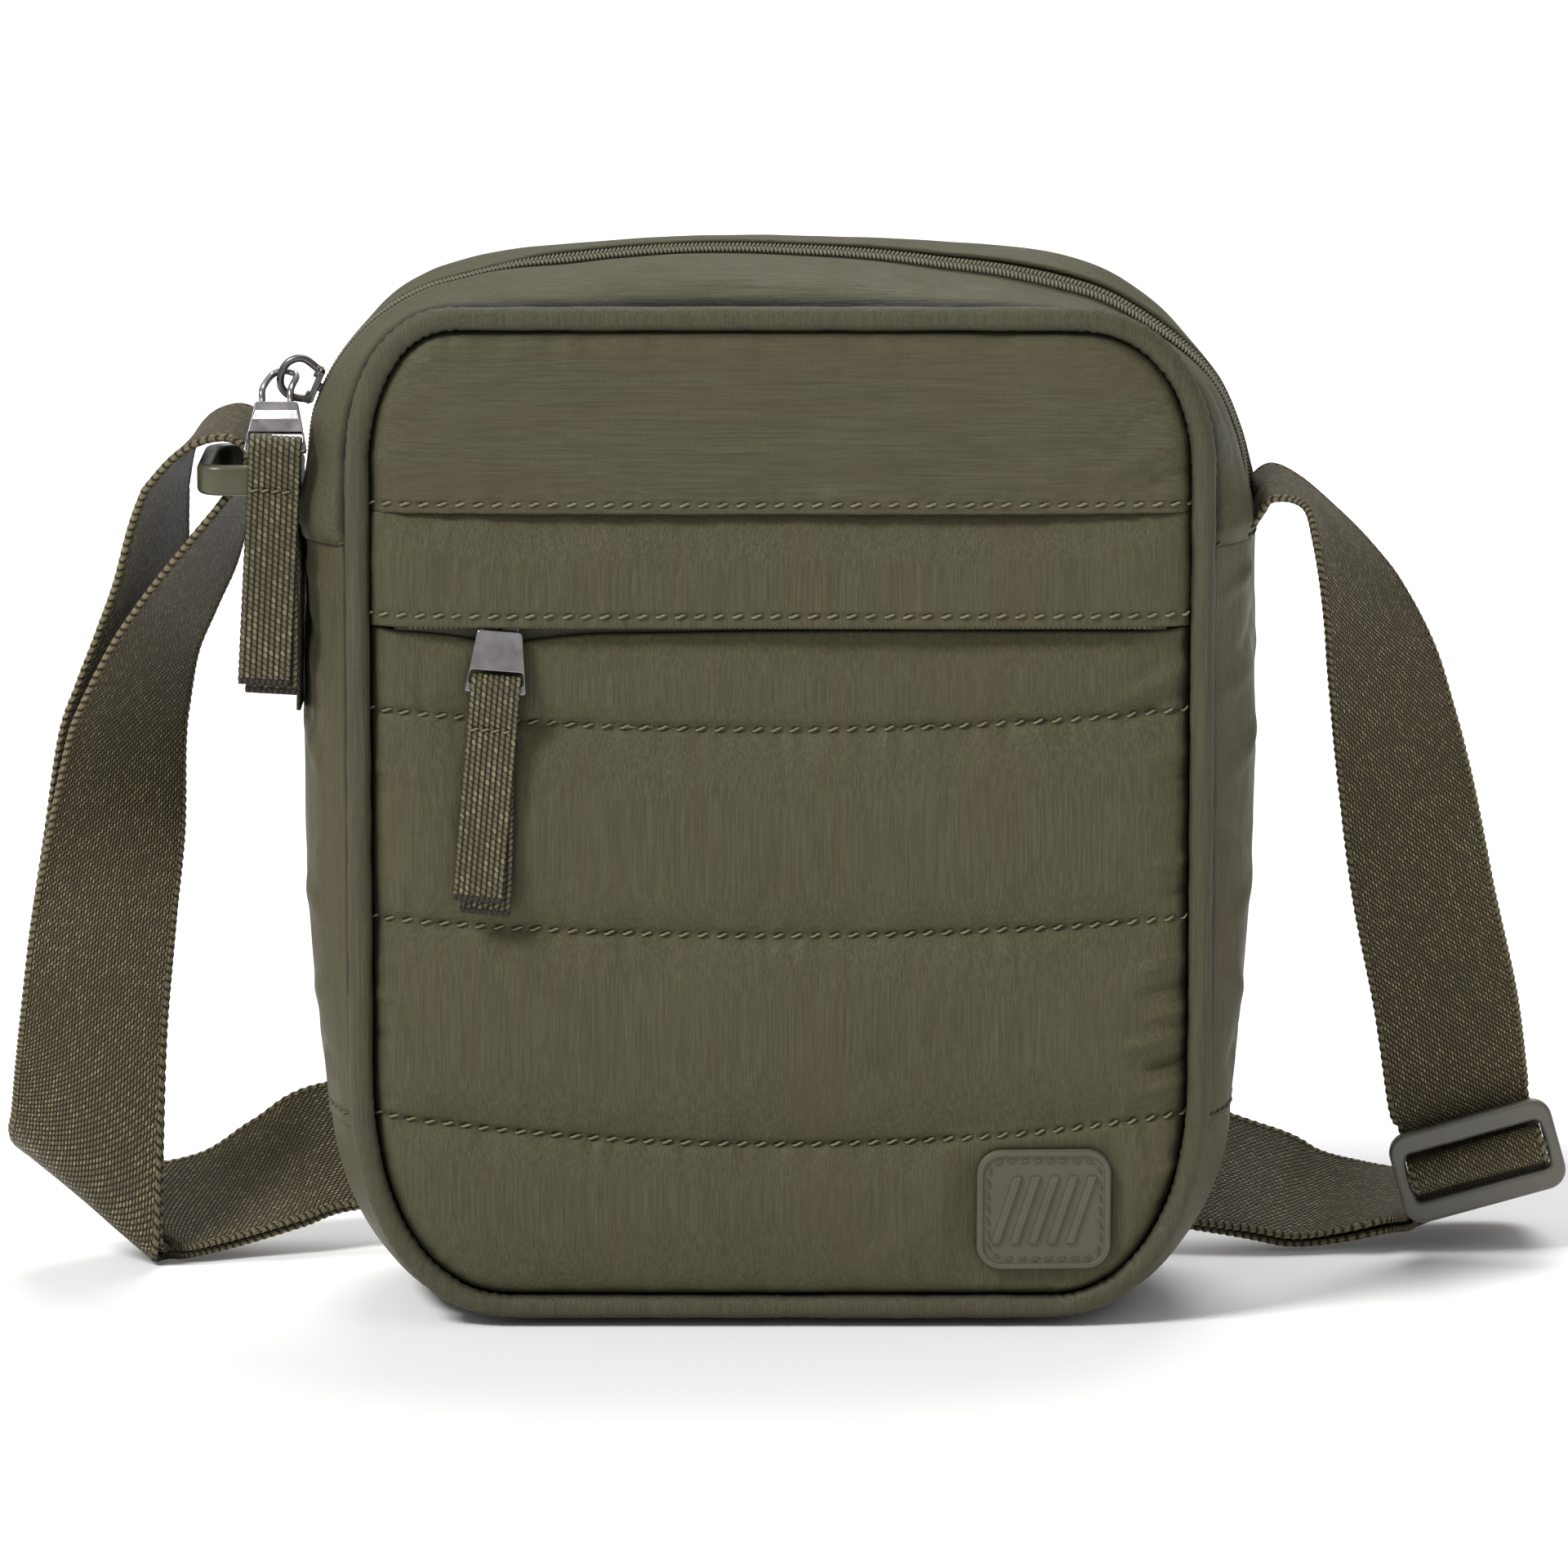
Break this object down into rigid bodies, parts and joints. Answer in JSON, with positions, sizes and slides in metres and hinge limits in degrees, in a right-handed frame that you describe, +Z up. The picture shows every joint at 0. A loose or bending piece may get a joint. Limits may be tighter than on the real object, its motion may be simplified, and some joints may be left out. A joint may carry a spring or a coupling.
{
  "type": "crossbody purse",
  "caption": "Small upright crossbody purse: puffed nylon body with piped edges, zip round the top, zipped front pocket, webbing shoulder strap with ring and slide buckle.",
  "frame": {"origin": "bottom centre of the bag's body, on the surface it stands on", "axes": "+Z up, +X to the right as the front is looked at, front faces -Y"},
  "size_m": [0.3537, 0.1183, 0.2381],
  "materials": {
    "shell": "coated plain-weave nylon, semi-matt",
    "piping": "same nylon, cut on the bias",
    "lining": "thin woven lining, matt",
    "wadding": "thin polyester wadding or cotton cord, matt",
    "webbing": "coarse polypropylene webbing, matt",
    "tape": "woven zip tape, matt",
    "coil": "nylon zip coil",
    "metal": "gunmetal plated zinc, satin",
    "painted": "painted to match, semi-gloss",
    "rubber": "moulded soft rubber, matt"
  },
  "bodies": {
    "bag": {"front_top_panel": "shell", "front_middle_panel": "shell", "pocket_front_panel": "shell", "pocket_wadding": "wadding", "pocket_back_panel": "lining", "pocket_zip_tape_upper": "tape", "pocket_zip_tape_lower": "tape", "pocket_zip_coil_upper": "coil", "pocket_zip_coil_lower": "coil", "front_piping": "piping", "back_piping": "piping", "front_piping_cord": "wadding", "back_piping_cord": "wadding", "back_panel": "shell", "back_wadding": "wadding", "lining_back": "lining", "lining_front": "lining", "lining_gusset": "lining", "top_gusset_front": "shell", "top_gusset_back": "shell", "side_gusset_left": "shell", "side_gusset_right": "shell", "bottom_gusset": "shell", "main_zip_tape_front": "tape", "main_zip_tape_back": "tape", "main_zip_coil_front": "coil", "main_zip_coil_back": "coil", "badge": "rubber", "strap_tab": "webbing", "strap_arch": "webbing", "strap_inner_run": "webbing", "strap_outer_run": "webbing"},
    "main_slider": {"main_slider_body": "metal"},
    "main_pull": {"main_pull_wire": "metal", "main_pull_tag": "metal"},
    "main_pull_tape": {"main_pull_tape": "webbing"},
    "pocket_slider": {"pocket_slider_body": "metal"},
    "pocket_pull": {"pocket_pull_tag": "metal"},
    "pocket_pull_tape": {"pocket_pull_tape": "webbing"},
    "strap_ring": {"strap_ring": "painted", "strap_ring_loop": "webbing"},
    "strap_buckle": {"strap_buckle": "painted", "strap_bar_loop": "webbing"}
  },
  "joints": [
    {"name": "main_slider_travel", "type": "hinge", "parent": "bag", "child": "main_slider", "pos_m": [-0.0623, -0.006, 0.1885], "axis": [0, 1, 0], "range_deg": [0, 44]},
    {"name": "main_pull_swing", "type": "hinge", "parent": "main_slider", "child": "main_pull", "pos_m": [-0.10846, -0.004, 0.20818], "axis": [-1, 0, 0], "range_deg": [0, 50]},
    {"name": "main_pull_tape_swing", "type": "hinge", "parent": "main_pull", "child": "main_pull_tape", "pos_m": [-0.11016, -0.02133, 0.19352], "axis": [-1, 0, 0], "range_deg": [0, 60]},
    {"name": "pocket_slider_travel", "type": "slide", "parent": "bag", "child": "pocket_slider", "axis": [1, 0, 0], "range_m": [0, 0.128]},
    {"name": "pocket_pull_swing", "type": "hinge", "parent": "pocket_slider", "child": "pocket_pull", "pos_m": [-0.0609, -0.0379, 0.1552], "axis": [-1, 0, 0], "range_deg": [0, 70]},
    {"name": "pocket_pull_tape_swing", "type": "hinge", "parent": "pocket_pull", "child": "pocket_pull_tape", "pos_m": [-0.06182, -0.03933, 0.14357], "axis": [-1, 0, 0], "range_deg": [0, 60]},
    {"name": "strap_ring_swing", "type": "hinge", "parent": "bag", "child": "strap_ring", "pos_m": [-0.1086, 0.003, 0.1856], "axis": [0, 1, 0], "range_deg": [-20, 20], "deforming": ["strap_inner_run", "strap_outer_run"]},
    {"name": "strap_buckle_slide", "type": "slide", "parent": "bag", "child": "strap_buckle", "axis": [-0.2706, 0, 0.9627], "range_m": [0, 0.02], "deforming": ["strap_arch", "strap_inner_run", "strap_outer_run"]}
  ]
}
